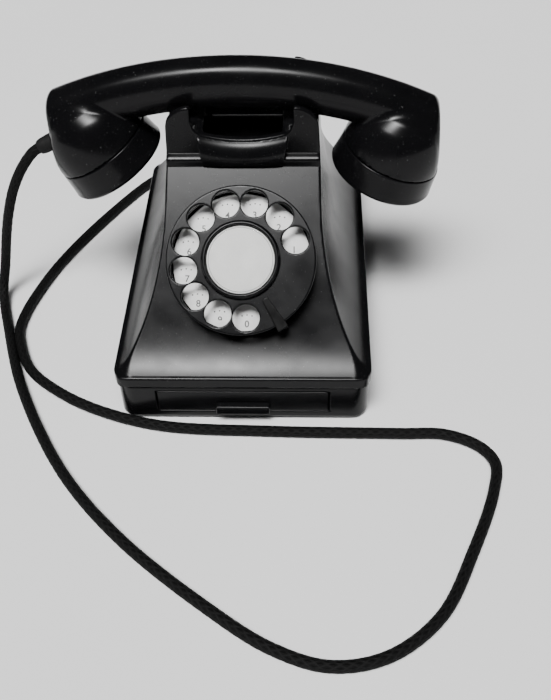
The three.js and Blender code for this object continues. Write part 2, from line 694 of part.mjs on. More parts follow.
function handle() {
  const places = [-101, -90, -76, -60, -45, -30, -15, 0, 15, 30, 45, 60, 76, 90, 99];
  return loft(places.map(handleRing));
}

// Places a shape made around the Z axis, with z = 0 at the rim, at one end of the handset.
function atEnd(geometry, end) {
  return geometry.rotateY(-end.tilt).translate(end.x, 0, end.z);
}

function cup(end) {
  const bottom = SEAM.height + GAP;
  const profile = [[0, bottom], [SEAM.radius, bottom], [27.3, 22], [25, 28], [13, 41.5], [8, 44.5],
    [0, 45.5]];
  return atEnd(turned(profile, 28), end);
}

function cupHollow(end) {
  return atEnd(turned([[0, 0], [21.8, 0], [21.8, 26], [0, 26]], 24), end);
}

function handsetBody() {
  return cut(join(handle(), cup(TRANSMITTER), cup(RECEIVER)), cupHollow(TRANSMITTER), cupHollow(RECEIVER));
}

function cap(end) {
  const profile = [[0, 3.5], [14, 2.5], [RIM_RADIUS - 6, -0.4], [RIM_RADIUS - 2, -0.4], [RIM_RADIUS, 2],
    [RIM_RADIUS - 0.4, 4.5], [SEAM.radius, SEAM.height], [SEAM.radius - 4, SEAM.height],
    [SEAM.radius - 4.5, 7], [0, 7]];
  return atEnd(turned(profile, 28), end);
}

function capsule(end) {
  return atEnd(turned([[0, 7.5], [18, 7.5], [21, 9], [21, 18], [17, 21], [0, 21]], 20), end);
}

add(handset, 'handset_body', handsetBody(), phenolic);
for (const [name, end] of [['transmitter', TRANSMITTER], ['receiver', RECEIVER]]) {
  add(handset, `${name}_cap`, cap(end), phenolic);
  add(handset, `${name}_capsule`, capsule(end), steel);
}

// ---------------------------------------------------------------- handset cord

// Route of the cord's middle: out of the end of the handset, down to the table, round the front
// in a wide loop, back along the base and round the rear corner to the gland.
const LIE = CORD_RADIUS + 0.1;
const CORD_ROUTE = [
  [-110.5, 9.5, 106], [-117, 8.5, 103], [-125, 7, 94], [-133, 6, 80], [-140, 6.5, 62], [-146, 8, 42],
  [-151, 7, 21], [-153.5, 1.5, 8.5], [-152, -7.5, 3.6], [-146, -26, LIE], [-127, -77, LIE], [-93, -137, LIE],
  [-58, -177, LIE], [-13, -214, LIE], [19, -235, LIE], [45, -243, LIE], [71, -238, LIE], [96, -218, LIE],
  [115, -182, LIE], [129, -147, LIE], [132, -129, LIE], [125, -118, LIE], [108, -110, LIE],
  [84, -109.5, LIE], [15, -108.5, LIE], [-45, -105, LIE], [-81, -94, LIE], [-106, -80, LIE],
  [-124, -64, LIE], [-134, -44, LIE], [-138, -26, LIE], [-127, 24, LIE], [-98, 86, LIE], [-72, 125, LIE],
  [-58, 133, LIE], [-46, 131, 4], [-38.5, 123, 9], [-36, 113, 13.4], [-36, 106, 14], [-36, 99, 14],
];

function cordTube() {
  const points = CORD_ROUTE.map((point) => new THREE.Vector3(...point));
  const route = new THREE.CatmullRomCurve3(points, false, 'centripetal');
  const section = disc(0, 0, CORD_RADIUS, 8);
  return new THREE.ExtrudeGeometry(section, { steps: 80, extrudePath: route, bevelEnabled: false });
}

// A rubber bush in the back wall of the tray, with its flange outside.
function rearBush(place, bore) {
  const flange = 1 + GAP;
  const end = flange + 3;
  const profile = [[bore, -3], [BUSH_NECK, -3], [BUSH_NECK, flange], [6, flange], [5.4, end], [bore, end],
    [bore, -3]];
  return turned(profile, 20).rotateX(-Math.PI / 2).translate(place.x, BACK - TRAY.inset - 1, place.z);
}

// The sleeve and tie where the cord leaves the end of the handset.
function handsetBush() {
  const bore = CORD_RADIUS + 3 * GAP;
  const profile = [[bore, -1], [5.2, -1], [5, 1.5], [4.5, 4], [bore, 4], [bore, -1]];
  const start = new THREE.Vector3(...CORD_ROUTE[0]);
  const out = new THREE.Vector3(...CORD_ROUTE[1]).sub(start).normalize();
  const turn = new THREE.Quaternion().setFromUnitVectors(new THREE.Vector3(0, 0, 1), out);
  return turned(profile, 16).applyQuaternion(turn).translate(start.x, start.y, start.z);
}

add(phone, 'handset_cord', cordTube(), braid);
add(phone, 'cord_bush_handset', handsetBush(), rubber);
add(phone, 'cord_bush_base', rearBush(GLAND, CORD_RADIUS + GAP), rubber);
add(phone, 'line_inlet', rearBush(INLET, 1.6), rubber);

export default phone;
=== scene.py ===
"""Looks of a rotary-dial desk telephone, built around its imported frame.

The shapes below are worked out in millimetres in the frame's own axes: +Z up, the dial faces -Y and
the handset lies along X. Meshes are turned into metres where they are made.
"""

import json
import math

import bpy
import numpy as np
from mathutils import Matrix, Vector


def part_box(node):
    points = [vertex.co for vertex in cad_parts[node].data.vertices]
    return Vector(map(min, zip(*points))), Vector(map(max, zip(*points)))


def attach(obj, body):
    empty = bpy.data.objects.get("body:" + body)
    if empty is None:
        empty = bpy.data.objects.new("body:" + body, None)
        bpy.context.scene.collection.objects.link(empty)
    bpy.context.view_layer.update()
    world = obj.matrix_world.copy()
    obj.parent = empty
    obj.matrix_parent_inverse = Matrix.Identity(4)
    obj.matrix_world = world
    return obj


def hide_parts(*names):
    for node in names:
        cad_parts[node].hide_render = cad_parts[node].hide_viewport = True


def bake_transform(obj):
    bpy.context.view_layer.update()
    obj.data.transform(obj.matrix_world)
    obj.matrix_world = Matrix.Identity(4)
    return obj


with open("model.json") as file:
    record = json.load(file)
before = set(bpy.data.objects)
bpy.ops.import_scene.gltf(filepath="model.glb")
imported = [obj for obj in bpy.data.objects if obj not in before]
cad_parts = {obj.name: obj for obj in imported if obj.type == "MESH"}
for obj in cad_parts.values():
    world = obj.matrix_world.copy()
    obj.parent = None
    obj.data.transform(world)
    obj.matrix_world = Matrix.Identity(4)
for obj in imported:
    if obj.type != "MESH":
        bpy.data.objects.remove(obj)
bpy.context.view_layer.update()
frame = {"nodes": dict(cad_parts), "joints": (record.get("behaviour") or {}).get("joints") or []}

MM = 0.001


def box_mm(node):
    """Lowest and highest corner of a CAD node, in millimetres."""
    low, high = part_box(node)
    return np.array(low) / MM, np.array(high) / MM


def middle_of(node):
    low, high = box_mm(node)
    return (low + high) / 2


# ---------------------------------------------------------------- measures, from the frame where it has them

housing_low, housing_high = box_mm("housing")
tray_low, tray_high = box_mm("base_tray")
FRONT, BACK = housing_low[1], housing_high[1]
HALF_WIDTH = housing_high[0]
PLINTH_BOTTOM = housing_low[2]
PLINTH_TOP = PLINTH_BOTTOM + 7
PLINTH_CORNER = 9
EAR_TIP = housing_high[2]
FRONT_EAR = EAR_TIP - 3.5
FACE_HALF_WIDTH = 42.3
FACE_TOP_Y, FACE_TOP_Z = FRONT + 85, 107
FLARE_TOP = 97
TOWER_FRONT, TOWER_BACK = FRONT + 89, FRONT + 137
LEDGE_CENTRE, LEDGE_RADIUS = (TOWER_FRONT + 1.7, FACE_TOP_Z - 0.8), 7
EAR_THICKNESS = 3.6
LIP_Z = 121
LIP_RADIUS = 12
SADDLE_Z = 126
WALL = 3
HANDSET_Y = FRONT + 110
PLUNGER_X = 32
PLUNGER_BORE = 2.9

joints = {joint["name"]: joint for joint in frame["joints"]}
dial_centre = np.array(joints["dial_turn"]["pos_m"]) / MM
dial_inward = np.array(joints["dial_turn"]["axis"])
FACE_SLOPE = math.atan2(dial_inward[1], -dial_inward[2])
WHEEL_RADIUS = box_mm("finger_wheel")[1][0]
DIAL_PROUD = 15
WHEEL_THICKNESS = 2.2
HOLE_CIRCLE = 30
HOLE_RADIUS = 7
HOLE_ANGLES = [math.radians(20 + 28.4 * hole) for hole in range(10)]
STOP_ANGLE = math.radians(-58)
STOP_TIP = 23.5                       # from the dial's middle to the tip of the finger stop


# ---------------------------------------------------------------- solids as distance fields
# A field takes x, y and z (arrays that fit together) and is below zero inside the solid.

def meet(a, b, r=0.0):
    """What is in both, its new edge rounded with radius r."""
    if np.all(np.asarray(r) == 0):
        return np.maximum(a, b)
    return np.minimum(np.maximum(a, b), -r) + np.hypot(np.maximum(a + r, 0), np.maximum(b + r, 0))


def merge(a, b, r=0.0):
    """What is in either, the corner between them filled with radius r."""
    return -meet(-a, -b, r)


def carve(a, b, r=0.0):
    """What is in a but not in b."""
    return meet(a, -b, r)


def slab(v, low, high):
    return np.maximum(low - v, v - high)


def prism(u, v, centre, half, corner):
    """Distance in a plane to a rectangle with round corners."""
    du = np.abs(u - centre[0]) - half[0] + corner
    dv = np.abs(v - centre[1]) - half[1] + corner
    return np.hypot(np.maximum(du, 0), np.maximum(dv, 0)) + np.minimum(np.maximum(du, dv), 0) - corner


def block(x, y, z, low, high, r=0.0):
    """A box from corner to corner with all its edges rounded."""
    middle = (np.array(low) + high) / 2
    half = (np.array(high) - low) / 2 - r
    dx, dy, dz = (np.abs(v - m) - h for v, m, h in zip((x, y, z), middle, half))
    outside = np.sqrt(np.maximum(dx, 0) ** 2 + np.maximum(dy, 0) ** 2 + np.maximum(dz, 0) ** 2)
    return outside + np.minimum(np.maximum(np.maximum(dx, dy), dz), 0) - r


def round_bar(u, v, centre, radius):
    return np.hypot(u - centre[0], v - centre[1]) - radius


def over_slope(gap, height, at):
    """Turns a gap measured along one axis into a distance square to the curve height(at)."""
    rise = (height(at + 0.05) - height(at - 0.05)) / 0.1
    return gap / np.sqrt(1 + rise ** 2)


def gradient(field, points, h=0.02):
    columns = []
    for axis in range(3):
        ahead, behind = points.copy(), points.copy()
        ahead[:, axis] += h
        behind[:, axis] -= h
        columns.append((field(*ahead.T) - field(*behind.T)) / (2 * h))
    return np.stack(columns, 1)


def skin_quads(inside, corner):
    """Four cells round each grid edge that the surface crosses, wound to face outwards."""
    found = []
    for axis in range(3):
        turn = [axis, (axis + 1) % 3, (axis + 2) % 3]
        solid, cell = inside.transpose(turn), corner.transpose(turn)
        start, end = solid[:-1, 1:-1, 1:-1], solid[1:, 1:-1, 1:-1]
        round_edge = np.stack([cell[:, :-1, :-1], cell[:, 1:, :-1], cell[:, 1:, 1:], cell[:, :-1, 1:]], -1)
        found.append(round_edge[start & ~end])
        found.append(round_edge[end & ~start][:, ::-1])
    return np.concatenate(found)


def skin(name, field, low, high, step, place=None):
    """The surface of a field as a mesh: its corners lie on it and its normals are the field's."""
    axes = [np.arange(a - 2 * step, b + 3 * step, step) for a, b in zip(low, high)]
    x, y, z = np.meshgrid(*axes, indexing="ij", sparse=True)
    inside = np.broadcast_to(field(x, y, z) < 0, [len(a) for a in axes])
    corners = [inside[i:len(axes[0]) - 1 + i, j:len(axes[1]) - 1 + j, k:len(axes[2]) - 1 + k]
               for i in (0, 1) for j in (0, 1) for k in (0, 1)]
    filled = sum(c.astype(np.int8) for c in corners)
    mixed = (filled > 0) & (filled < 8)
    number = np.full(mixed.shape, -1)
    number[mixed] = np.arange(mixed.sum())
    cells = np.argwhere(mixed)
    points = np.stack([axes[n][cells[:, n]] + step / 2 for n in range(3)], 1)
    for _ in range(6):
        slope = gradient(field, points)
        shift = field(*points.T)[:, None] * slope / np.maximum((slope ** 2).sum(1), 0.25)[:, None]
        points = points - np.clip(shift, -step / 2, step / 2)
    return mesh_object(name, points, skin_quads(inside, number).tolist(), gradient(field, points), place)


def mesh_object(name, points, faces, normals, place=None):
    """A smooth mesh object from millimetres, with its own normals, and turned by place if given."""
    if place is not None:
        turn = np.array(place)[:3, :3]
        points = points @ turn.T + np.array(place)[:3, 3]
        normals = normals @ turn.T
    mesh = bpy.data.meshes.new(name)
    mesh.from_pydata((points * MM).tolist(), [], faces)
    mesh.polygons.foreach_set("use_smooth", [True] * len(mesh.polygons))
    lengths = np.maximum(np.linalg.norm(normals, axis=1), 1e-9)[:, None]
    mesh.normals_split_custom_set_from_vertices((normals / lengths).tolist())
    piece = bpy.data.objects.new(name, mesh)
    bpy.context.scene.collection.objects.link(piece)
    return piece


# ---------------------------------------------------------------- turned pieces

def softened(corners, radius, steps=4):
    """An open outline with its inner corners rounded off: points and their outward normals."""
    ring = [np.array(c, float) for c in corners]
    points, tangents = [ring[0]], [ring[1] - ring[0]]
    for before, here, after in zip(ring, ring[1:], ring[2:]):
        cut = min(radius, np.linalg.norm(before - here) * 0.48, np.linalg.norm(after - here) * 0.48)
        start = here + (before - here) / np.linalg.norm(before - here) * cut
        end = here + (after - here) / np.linalg.norm(after - here) * cut
        for t in np.linspace(0, 1, steps + 1):
            points.append((1 - t) ** 2 * start + 2 * t * (1 - t) * here + t * t * end)
            tangents.append((1 - t) * (here - start) + t * (end - here))
    points.append(ring[-1])
    tangents.append(ring[-1] - ring[-2])
    return np.array(points), np.array([[t[1], -t[0]] for t in tangents])


def turned(name, corners, radius=0.4, place=None, segments=96, closed=False):
    """A piece turned about Z from [radius, z] corners that run outwards at the bottom and then up.
    It closes on the axis, or on itself if closed."""
    if closed:
        middle = (np.array(corners[0]) + corners[1]) / 2
        corners = [middle, *corners[1:], corners[0], middle]
    outline, across = softened(corners, radius)
    angles = np.arange(segments) * 2 * math.pi / segments
    points, normals, rings = [], [], []
    for (r, z), (nr, nz) in zip(outline, across):
        spots = angles if r > 1e-6 else [0.0]
        first = len(points)
        points += [(r * math.cos(a), r * math.sin(a), z) for a in spots]
        normals += [(nr * math.cos(a), nr * math.sin(a), nz) if r > 1e-6 else (0, 0, nz) for a in spots]
        rings.append([first + i % len(spots) for i in range(segments)])
    if closed:
        rings[-1] = rings[0]
    faces = []
    for below, above in zip(rings, rings[1:]):
        for i in range(segments):
            j = (i + 1) % segments
            face = list(dict.fromkeys([below[i], below[j], above[j], above[i]]))
            if len(face) > 2:
                faces.append(face)
    return mesh_object(name, np.array(points), faces, np.array(normals), place)


# ---------------------------------------------------------------- camera

CAMERA_PLACE = Vector((0.035, -0.4465, 0.403))
CAMERA_AZIMUTH, CAMERA_DOWN, CAMERA_ROLL = map(math.radians, (2.74, 45.0, -1.72))


def add_camera():
    """A 50 mm lens in front of the telephone, looking down on it at 45 degrees."""
    data = bpy.data.cameras.new("camera")
    data.lens = 50
    data.sensor_width = 36
    data.clip_end = 20
    camera = bpy.data.objects.new("camera", data)
    turn = Matrix.Rotation(CAMERA_AZIMUTH, 4, "Z") @ Matrix.Rotation(math.pi / 2 - CAMERA_DOWN, 4, "X")
    camera.matrix_world = Matrix.Translation(CAMERA_PLACE) @ turn @ Matrix.Rotation(CAMERA_ROLL, 4, "Z")
    bpy.context.scene.collection.objects.link(camera)
    bpy.context.scene.camera = camera


add_camera()


# ---------------------------------------------------------------- materials

def add_node(tree, kind, inputs=(), **settings):
    """A shader node with its settings; an input is a value or another node's socket."""
    node = tree.nodes.new(kind)
    for key, value in settings.items():
        setattr(node, key, value)
    for key, value in dict(inputs).items():
        if isinstance(value, bpy.types.NodeSocket):
            tree.links.new(value, node.inputs[key])
        else:
            node.inputs[key].default_value = value
    return node


def arithmetic(tree, operation, *values):
    """The result of one sum on values or sockets."""
    return add_node(tree, "ShaderNodeMath", dict(enumerate(values)), operation=operation).outputs[0]


def noise(tree, size, detail=3.0):
    """Grey noise with lumps of about this size in metres."""
    place = add_node(tree, "ShaderNodeTexCoord").outputs["Object"]
    inputs = {"Vector": place, "Scale": 1 / size, "Detail": detail}
    return add_node(tree, "ShaderNodeTexNoise", inputs).outputs["Fac"]


def spread(tree, value, low, high, start=0.3, end=0.7):
    """Stretches a value from start..end to low..high."""
    inputs = {"Value": value, "From Min": start, "From Max": end, "To Min": low, "To Max": high}
    return add_node(tree, "ShaderNodeMapRange", inputs).outputs["Result"]


def blend_colors(tree, share, first, second):
    node = add_node(tree, "ShaderNodeMix", data_type="RGBA")
    for socket, value in zip((node.inputs[0], node.inputs[6], node.inputs[7]), (share, first, second)):
        if isinstance(value, bpy.types.NodeSocket):
            tree.links.new(value, socket)
        else:
            socket.default_value = value if isinstance(value, float) else (*value, 1)
    return node.outputs[2]


def bump(tree, height, depth, strength=1.0):
    inputs = {"Height": height, "Distance": depth, "Strength": strength}
    return add_node(tree, "ShaderNodeBump", inputs).outputs["Normal"]


def surface_material(name, dark, light, patch, rough, wave, depth, metallic=0.0, ior=1.5):
    """A finish whose colour and gloss drift over patches, with fine unevenness of its surface.

    patch is the size of the drifts and wave that of the unevenness, in metres; rough is the lowest
    and the highest roughness."""
    look = bpy.data.materials.new(name)
    look.use_nodes = True
    tree = look.node_tree
    shader = tree.nodes["Principled BSDF"]
    drift = noise(tree, patch, 5)
    share = spread(tree, drift, 0.0, 1.0)
    tree.links.new(blend_colors(tree, share, dark, light), shader.inputs["Base Color"])
    tree.links.new(spread(tree, noise(tree, patch * 0.6, 6), *rough), shader.inputs["Roughness"])
    tree.links.new(bump(tree, noise(tree, wave, 2), depth), shader.inputs["Normal"])
    shader.inputs["Metallic"].default_value = metallic
    shader.inputs["IOR"].default_value = ior
    return look


def phenolic_material():
    """Polished black moulding with faint haze from handling and a little dust."""
    look = surface_material("phenolic", (0.003, 0.003, 0.0034), (0.005, 0.005, 0.0055), 0.03,
                            (0.16, 0.26), 0.006, 0.00001, ior=1.25)
    tree = look.node_tree
    shader = tree.nodes["Principled BSDF"]
    specks = spread(tree, noise(tree, 0.0007, 1), 0.0, 1.0, 0.74, 0.8)
    under = shader.inputs["Base Color"].links[0].from_socket
    tree.links.new(blend_colors(tree, specks, under, (0.09, 0.09, 0.09)), shader.inputs["Base Color"])
    return look


BRAID_STRANDS = 8.0                   # strands that run round the cord each way


def braid_material():
    """Dark cotton braid: two sets of strands that cross, read from the cord's own UV map."""
    look = bpy.data.materials.new("braid")
    look.use_nodes = True
    tree = look.node_tree
    shader = tree.nodes["Principled BSDF"]
    uv = add_node(tree, "ShaderNodeTexCoord").outputs["UV"]
    parts = add_node(tree, "ShaderNodeSeparateXYZ", {"Vector": uv}).outputs
    strands = []
    for way in (-1, 1):
        around = arithmetic(tree, "MULTIPLY", parts[1], way * BRAID_STRANDS)
        turn = arithmetic(tree, "ADD", parts[0], around)
        strands.append(arithmetic(tree, "SINE", arithmetic(tree, "MULTIPLY", turn, 2 * math.pi)))
    weave = arithmetic(tree, "MAXIMUM", *strands)
    share = spread(tree, weave, 0.0, 1.0, -0.5, 1.0)
    tree.links.new(blend_colors(tree, share, (0.001, 0.001, 0.001), (0.004, 0.004, 0.004)),
                   shader.inputs["Base Color"])
    tree.links.new(bump(tree, weave, 0.0002), shader.inputs["Normal"])
    shader.inputs["Roughness"].default_value = 0.7
    shader.inputs["Specular IOR Level"].default_value = 0.15
    return look


def window_material():
    """Clear celluloid over the label, thin enough not to need bending of light."""
    look = surface_material("window", (0.9, 0.9, 0.9), (0.97, 0.97, 0.97), 0.01,
                            (0.04, 0.1), 0.004, 0.000005)
    look.node_tree.nodes["Principled BSDF"].inputs["Alpha"].default_value = 0.08
    return look


PHENOLIC = phenolic_material()
BRAID = braid_material()
WINDOW = window_material()
RUBBER = surface_material("rubber", (0.004, 0.004, 0.004), (0.009, 0.009, 0.009), 0.004,
                          (0.55, 0.8), 0.0006, 0.00006, ior=1.3)
STEEL = surface_material("steel", (0.32, 0.32, 0.33), (0.5, 0.5, 0.51), 0.004,
                         (0.22, 0.42), 0.0006, 0.00001, metallic=1.0)
JAPAN = surface_material("japanned_steel", (0.004, 0.004, 0.004), (0.01, 0.01, 0.01), 0.01,
                         (0.15, 0.3), 0.002, 0.00001, ior=1.2)
CHROME = surface_material("chrome", (0.55, 0.55, 0.56), (0.7, 0.7, 0.71), 0.006,
                          (0.06, 0.18), 0.003, 0.000005, metallic=1.0)
BRASS = surface_material("brass", (0.42, 0.28, 0.1), (0.62, 0.44, 0.18), 0.006,
                         (0.2, 0.4), 0.001, 0.00001, metallic=1.0)
WINDING = surface_material("winding", (0.012, 0.03, 0.016), (0.03, 0.06, 0.03), 0.003,
                           (0.35, 0.6), 0.0006, 0.0001)
FIBRE = surface_material("fibre", (0.09, 0.045, 0.02), (0.16, 0.085, 0.04), 0.003,
                         (0.5, 0.7), 0.0008, 0.00004)
ENAMEL = surface_material("enamel", (0.66, 0.66, 0.65), (0.78, 0.78, 0.77), 0.008,
                          (0.18, 0.35), 0.003, 0.000008)
CARD = surface_material("card", (0.66, 0.66, 0.64), (0.76, 0.76, 0.74), 0.008,
                        (0.5, 0.7), 0.0006, 0.00003)
INK = surface_material("ink", (0.006, 0.006, 0.006), (0.012, 0.012, 0.012), 0.002,
                       (0.3, 0.5), 0.001, 0.000005)


def settle(piece, look, slot, body, *nodes):
    """Gives a new piece its finish, the body it moves with and the CAD nodes it stands for."""
    piece.data.materials.clear()
    piece.data.materials.append(look)
    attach(piece, body)
    if nodes:
        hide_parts(*nodes)
    return piece


# ---------------------------------------------------------------- cord

CORD_RADIUS = 0.0029
LIE = 0.003
CORD_ROUTE = [
    [-0.1105, 0.0095, 0.106], [-0.117, 0.0085, 0.103], [-0.125, 0.007, 0.094], [-0.133, 0.006, 0.08],
    [-0.14, 0.0065, 0.062], [-0.146, 0.008, 0.042], [-0.151, 0.007, 0.021], [-0.1535, 0.0015, 0.0085],
    [-0.152, -0.0075, 0.0036], [-0.146, -0.026, LIE], [-0.127, -0.077, LIE], [-0.093, -0.137, LIE],
    [-0.058, -0.177, LIE], [-0.013, -0.214, LIE], [0.019, -0.235, LIE], [0.045, -0.243, LIE],
    [0.071, -0.238, LIE], [0.096, -0.218, LIE], [0.115, -0.182, LIE], [0.129, -0.147, LIE],
    [0.132, -0.129, LIE], [0.125, -0.118, LIE], [0.108, -0.11, LIE], [0.084, -0.1095, LIE],
    [0.015, -0.1085, LIE], [-0.045, -0.105, LIE], [-0.081, -0.094, LIE], [-0.106, -0.08, LIE],
    [-0.124, -0.064, LIE], [-0.134, -0.044, LIE], [-0.138, -0.026, LIE], [-0.127, 0.024, LIE],
    [-0.098, 0.086, LIE], [-0.072, 0.125, LIE], [-0.058, 0.133, LIE], [-0.046, 0.131, 0.004],
    [-0.0385, 0.123, 0.009], [-0.036, 0.113, 0.0134], [-0.036, 0.106, 0.014], [-0.036, 0.099, 0.014],
]


def smooth_route(points, spacing):
    """A centripetal Catmull-Rom curve through the points, sampled about every spacing."""
    ring = np.array([2 * np.array(points[0]) - points[1], *points, 2 * np.array(points[-1]) - points[-2]])
    samples = []
    for p0, p1, p2, p3 in zip(ring, ring[1:], ring[2:], ring[3:]):
        t1 = np.linalg.norm(p1 - p0) ** 0.5
        t2 = t1 + np.linalg.norm(p2 - p1) ** 0.5
        t3 = t2 + np.linalg.norm(p3 - p2) ** 0.5
        count = max(1, round(np.linalg.norm(p2 - p1) / spacing))
        t = np.linspace(t1, t2, count, endpoint=False)[:, None]
        a1 = ((t1 - t) * p0 + t * p1) / t1
        a2 = ((t2 - t) * p1 + (t - t1) * p2) / (t2 - t1)
        a3 = ((t3 - t) * p2 + (t - t2) * p3) / (t3 - t2)
        b1 = ((t2 - t) * a1 + t * a2) / t2
        b2 = ((t3 - t) * a2 + (t - t1) * a3) / (t3 - t1)
        samples.append(((t2 - t) * b1 + (t - t1) * b2) / (t2 - t1))
    return np.concatenate([*samples, ring[-2:-1]])


def cord_mesh(name, route, radius, sides=24, pitch=0.0056):
    """A round cord along a route, its surface lifted where strands of the braid cross."""
    ahead = np.gradient(route, axis=0)
    ahead /= np.linalg.norm(ahead, axis=1)[:, None]
    across = [np.cross(ahead[0], (0, 0, 1.0))]
    for direction in ahead[1:]:
        side = across[-1] / np.linalg.norm(across[-1])
        across.append(side - direction * side.dot(direction))
    side = np.array(across) / np.linalg.norm(across, axis=1)[:, None]
    up = np.cross(side, ahead)
    run = np.concatenate([[0], np.cumsum(np.linalg.norm(np.diff(route, axis=0), axis=1))]) / pitch
    turns = np.arange(sides) / sides
    angle = turns[None, :, None] * 2 * math.pi
    crossing = [np.sin(2 * math.pi * (run[:, None] + way * BRAID_STRANDS * turns)) for way in (-1, 1)]
    reach = radius * (1 + 0.03 * np.maximum(*crossing))[..., None]
    points = route[:, None] + reach * (np.cos(angle) * side[:, None] + np.sin(angle) * up[:, None])
    faces = []
    for here in range(0, (len(route) - 1) * sides, sides):
        there = here + sides
        for j in range(sides):
            k = (j + 1) % sides
            faces.append((here + j, here + k, there + k, there + j))
    mesh = bpy.data.meshes.new(name)
    mesh.from_pydata(points.reshape(-1, 3).tolist(), [], faces)
    mesh.polygons.foreach_set("use_smooth", [True] * len(mesh.polygons))
    uv = mesh.uv_layers.new(name="braid")
    corners = [(run[i + di], (j + dj) / sides) for i in range(len(route) - 1) for j in range(sides)
               for di, dj in ((0, 0), (0, 1), (1, 1), (1, 0))]
    uv.data.foreach_set("uv", np.array(corners, np.float32).ravel())
    cord = bpy.data.objects.new(name, mesh)
    bpy.context.scene.collection.objects.link(cord)
    return cord


def add_handset_cord():
    """The braided cord from the handset, round the table, to the back of the base."""
    route = smooth_route(CORD_ROUTE, 0.0006)
    cord = cord_mesh("handset_cord_braided", route, CORD_RADIUS)
    cord.data.materials.append(BRAID)
    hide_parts("handset_cord")
    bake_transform(cord)


add_handset_cord()


# ---------------------------------------------------------------- housing

FINE = 1.0     # multiplies the steps of the fields' meshes


def bezier(*points, count=120):
    """Samples of the Bezier curve with these control points."""
    t = np.linspace(0, 1, count)[:, None]
    level = [np.array(point, float) for point in points]
    while len(level) > 1:
        level = [(1 - t) * a + t * b for a, b in zip(level, level[1:])]
    return level[0]


face_rise = math.tan(FACE_SLOPE)
SKIRT_END = np.array([FRONT + 27, FACE_TOP_Z + (FRONT + 27 - FACE_TOP_Y) * face_rise])
SKIRT = bezier((FRONT + 0.8, PLINTH_TOP), (FRONT + 7.5, PLINTH_TOP + 3.6),
               SKIRT_END - 13.5 * np.array([1, face_rise]), SKIRT_END)
BACK_CURVE = bezier((TOWER_BACK, FACE_TOP_Z + 5), (TOWER_BACK + 18, 83), (TOWER_BACK + 49, 62),
                    (BACK - 2, PLINTH_TOP + 0.4))[::-1]


def half_width_at(z):
    """Half the housing's width: a straight tower on flanks that sweep out to the plinth."""
    foot = HALF_WIDTH - 0.8
    t = np.clip((FLARE_TOP - z) / (FLARE_TOP - PLINTH_TOP), 0, 1)
    return foot - (foot - FACE_HALF_WIDTH) * (1 - t * t) ** 0.75 - 0.05 * np.maximum(0, z - FLARE_TOP)


def face_height(y):
    """Height of the dial face above a place between front and back, curving into the skirt."""
    skirt = np.interp(y, SKIRT[:, 0], SKIRT[:, 1])
    return np.where(y < SKIRT_END[0], skirt, FACE_TOP_Z + (y - FACE_TOP_Y) * face_rise)


def back_at(z):
    return np.interp(z, BACK_CURVE[:, 1], BACK_CURVE[:, 0])


def housing_form(x, y, z):
    """The housing without its ears' outlines: dial face, shoulder, tower and curved back."""
    side = over_slope(np.abs(x) - half_width_at(z), half_width_at, z)
    face = over_slope(z - face_height(y), face_height, y)
    ledge = round_bar(y, z, LEDGE_CENTRE, LEDGE_RADIUS)
    shoulder = meet(FACE_TOP_Y + 0.3 - y, ledge, 0.6)
    front = merge(merge(face, shoulder, 0.2), TOWER_FRONT - y, 0.4)
    front = meet(front, FRONT + 0.5 - y, 0.8)
    back = over_slope(y - back_at(z), back_at, z)
    corner = 1.5 + 3.5 * np.clip((44 - z) / 12, 0, 1) ** 2
    tower_corner = np.where(z > FACE_TOP_Z, 2.6, corner)
    return meet(meet(front, side, corner), back, tower_corner)


def ear_outline(x, y, z):
    """The ears from the front, highest on the inside; the rear ones are a little higher."""
    tip = np.where(y < HANDSET_Y, FRONT_EAR, EAR_TIP)
    return meet(np.abs(x) - half_width_at(z) + 0.2, z - tip, 13)


def finger_lip(x, y, z):
    """The bowed lip in front of the finger space, with a broad round nose."""
    side = (np.abs(x) - 21.5 - (z - FACE_TOP_Z - 2) * 0.17) * 0.985
    top = LIP_Z + 4 * (x / 24.2) ** 2
    nose = round_bar(y, z, (TOWER_FRONT + 6.2, top + 0.5 - LIP_RADIUS), LIP_RADIUS)
    body = merge(nose, meet(TOWER_FRONT - 3.5 - y, z - top + 10, 1), 1.5)
    body = meet(meet(body, y - TOWER_FRONT - 3), FACE_TOP_Z + 1 - z)
    return meet(body, side, 0.8)


def ear_gap(x, z):
    floor = LIP_Z + 2.9 * (x / 20.5) ** 2 - z
    return meet(floor, np.abs(x) - 26.7, 5)


def handle_trough(y, z):
    front, back = TOWER_FRONT + EAR_THICKNESS, TOWER_BACK - EAR_THICKNESS
    return meet(meet(SADDLE_Z - z, front - y, 5), y - back, 6)


def on_face(x, y, z):
    """The same place in the dial's own axes: X right, Y up the face and Z out of it."""
    y, z = y - dial_centre[1], z - dial_centre[2]
    cos, sin = math.cos(FACE_SLOPE), math.sin(FACE_SLOPE)
    return x, y * cos + z * sin, z * cos - y * sin


SCREW_PLACES = [middle_of(f"base_screw_{number}")[:2] for number in range(1, 5)]


